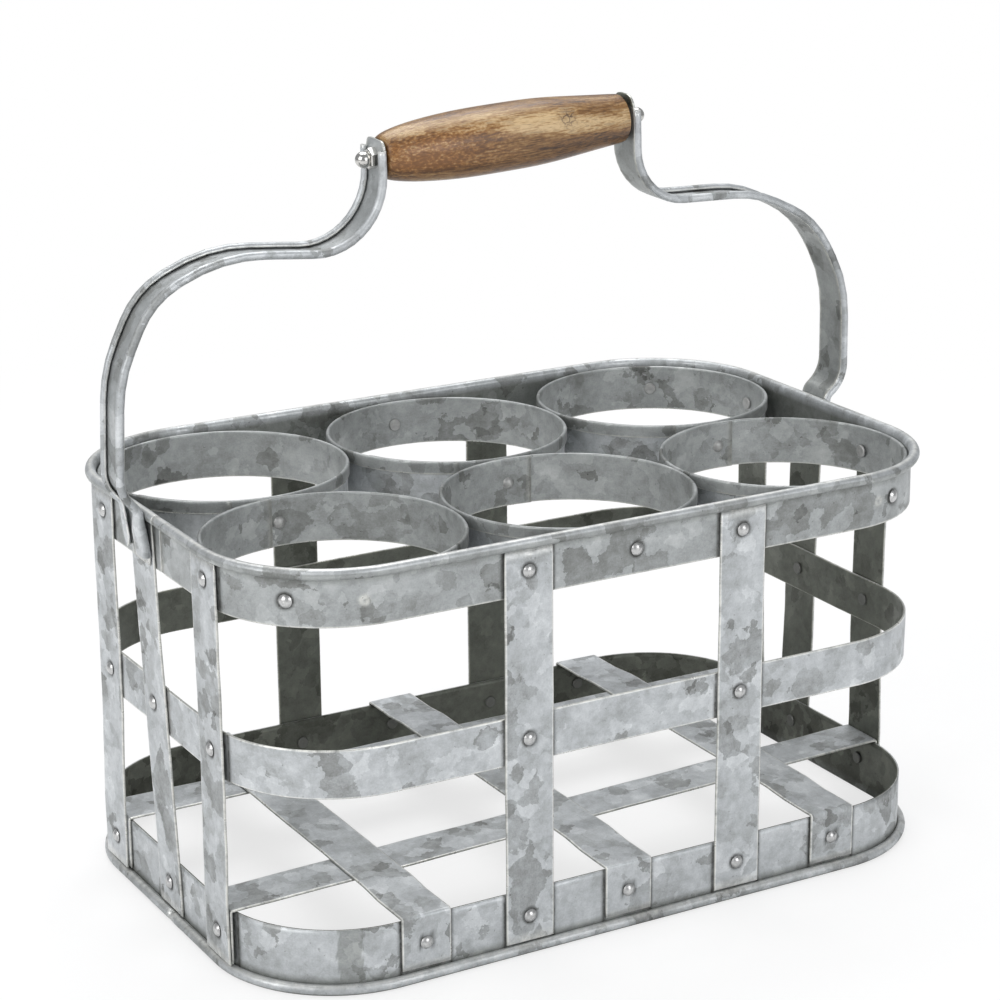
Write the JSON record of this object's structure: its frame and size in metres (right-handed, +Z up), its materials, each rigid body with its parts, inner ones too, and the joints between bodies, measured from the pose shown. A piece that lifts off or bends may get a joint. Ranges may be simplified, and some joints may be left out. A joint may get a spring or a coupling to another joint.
{
  "type": "bottle caddy",
  "caption": "Open carrying caddy of riveted galvanised strips, with ringed cells for bottles or glasses and a high handle with a turned wooden grip.",
  "frame": {"origin": "centre of the bounding box's base, on the floor under the middle of the caddy", "axes": "+X along the caddy's length, to the right seen from the front; +Y from the front to the back; +Z up"},
  "size_m": [0.3227, 0.1974, 0.2954],
  "materials": {
    "galvanised_steel": "hot-dip galvanised sheet with soft mottled spangle, matt to satin",
    "rivet_steel": "bright plated rivet steel, satin",
    "nickel_plate": "nickel-plated, polished",
    "turned_wood": "turned hardwood, satin varnish, long grain"
  },
  "bodies": {
    "caddy": {"back_strap_left": "galvanised_steel", "back_strap_right": "galvanised_steel", "base_band": "galvanised_steel", "base_rivets": "rivet_steel", "cup_ring_front_left": "galvanised_steel", "cup_ring_front_middle": "galvanised_steel", "cup_ring_front_right": "galvanised_steel", "cup_ring_rear_left": "galvanised_steel", "cup_ring_rear_middle": "galvanised_steel", "cup_ring_rear_right": "galvanised_steel", "dome_nut_left": "nickel_plate", "dome_nut_right": "nickel_plate", "floor_cross_strap_left": "galvanised_steel", "floor_cross_strap_middle": "galvanised_steel", "floor_cross_strap_right": "galvanised_steel", "floor_long_strap_front": "galvanised_steel", "floor_long_strap_rear": "galvanised_steel", "floor_strap_rivets": "rivet_steel", "front_strap_left": "galvanised_steel", "front_strap_right": "galvanised_steel", "grip_rod": "nickel_plate", "handle_arm_left": "galvanised_steel", "handle_arm_right": "galvanised_steel", "left_end_strap_front": "galvanised_steel", "left_end_strap_middle": "galvanised_steel", "left_end_strap_rear": "galvanised_steel", "middle_band": "galvanised_steel", "middle_rivets": "rivet_steel", "right_end_strap_front": "galvanised_steel", "right_end_strap_middle": "galvanised_steel", "right_end_strap_rear": "galvanised_steel", "rim_band": "galvanised_steel", "rim_rivets": "rivet_steel", "ring_pair_rivets": "rivet_steel", "ring_rivets": "rivet_steel"},
    "grip": {"grip": "turned_wood"}
  },
  "joints": [
    {"name": "grip_turn", "type": "hinge", "parent": "caddy", "child": "grip", "pos_m": [0.00155, 0.00264, 0.28211], "axis": [0.9988, -0.0017, 0.0486], "continuous": true}
  ]
}
